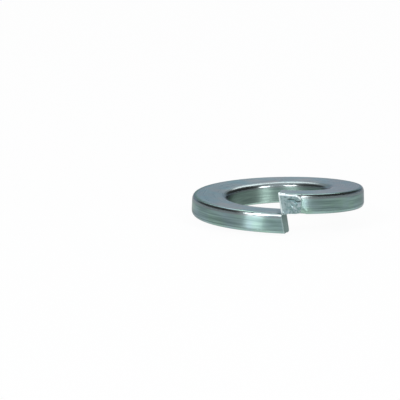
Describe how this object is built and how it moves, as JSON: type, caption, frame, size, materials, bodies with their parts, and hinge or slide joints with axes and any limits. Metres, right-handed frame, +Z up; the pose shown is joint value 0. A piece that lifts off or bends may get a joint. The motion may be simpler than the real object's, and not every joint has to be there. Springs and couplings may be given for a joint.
{
  "type": "spring lock washer",
  "caption": "Split spring lock washer: one turn of rectangular wire in a shallow left-hand helix, cut obliquely, with a round bore for a bolt.",
  "frame": {"origin": "on the bore axis, level with the lowest edge of the low end, where the washer rests", "axes": "+Z up along the bore axis, towards the raised end; -Y towards the split; +X to the right as seen from the split's side"},
  "size_m": [0.0206, 0.0206, 0.0051],
  "materials": {
    "zinc_steel": "satin"
  },
  "bodies": {
    "root": {"washer": "zinc_steel"}
  },
  "joints": []
}
